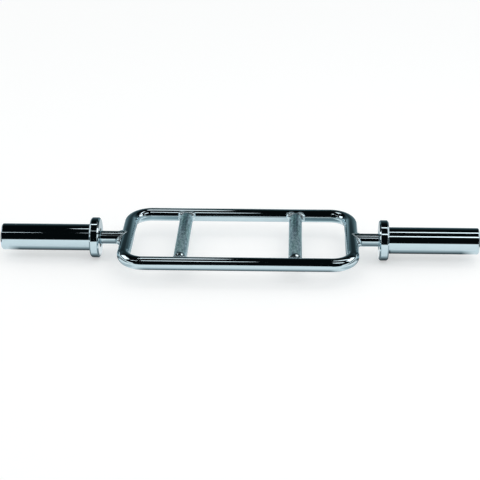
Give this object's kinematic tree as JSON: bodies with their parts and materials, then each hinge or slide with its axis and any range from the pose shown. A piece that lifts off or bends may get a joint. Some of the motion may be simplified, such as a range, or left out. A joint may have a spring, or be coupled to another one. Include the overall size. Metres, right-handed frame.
{
  "type": "triceps bar",
  "caption": "Chrome Olympic triceps bar: a flat round-cornered loop with knurled cross grips between the rails and a free-turning sleeve with a collar at each end.",
  "frame": {"origin": "middle of the frame loop, on the axis both sleeves turn about", "axes": "+X along the bar to the right sleeve, +Y across the frame to the rear rail, +Z square to the frame"},
  "size_m": [0.9, 0.233, 0.0756],
  "materials": {
    "chrome_plate": "polished chrome plate on steel",
    "knurled_chrome": "satin chrome plate on diamond knurled steel",
    "weld_chrome": "chrome plate over an as-laid weld bead",
    "turned_steel": "zinc plated, turned",
    "oiled_bronze": "sintered bronze, oiled"
  },
  "bodies": {
    "frame": {"frame_loop": "chrome_plate", "left_grip": "knurled_chrome", "right_grip": "knurled_chrome", "left_grip_front_weld": "weld_chrome", "left_grip_rear_weld": "weld_chrome", "right_grip_front_weld": "weld_chrome", "right_grip_rear_weld": "weld_chrome", "left_spindle": "chrome_plate", "right_spindle": "chrome_plate", "left_spindle_weld": "weld_chrome", "right_spindle_weld": "weld_chrome", "left_thrust_washer": "turned_steel", "right_thrust_washer": "turned_steel", "left_retaining_washer": "turned_steel", "right_retaining_washer": "turned_steel", "left_lock_washer": "turned_steel", "right_lock_washer": "turned_steel", "left_retaining_bolt": "turned_steel", "right_retaining_bolt": "turned_steel"},
    "left_sleeve": {"left_collar": "chrome_plate", "left_sleeve_tube": "chrome_plate", "left_inner_bushing": "oiled_bronze", "left_outer_bushing": "oiled_bronze"},
    "right_sleeve": {"right_collar": "chrome_plate", "right_sleeve_tube": "chrome_plate", "right_inner_bushing": "oiled_bronze", "right_outer_bushing": "oiled_bronze"}
  },
  "joints": [
    {"name": "left_sleeve_spin", "type": "hinge", "parent": "frame", "child": "left_sleeve", "pos_m": [-0.263, 0, 0], "axis": [1, 0, 0], "continuous": true},
    {"name": "right_sleeve_spin", "type": "hinge", "parent": "frame", "child": "right_sleeve", "pos_m": [0.263, 0, 0], "axis": [1, 0, 0], "continuous": true}
  ]
}
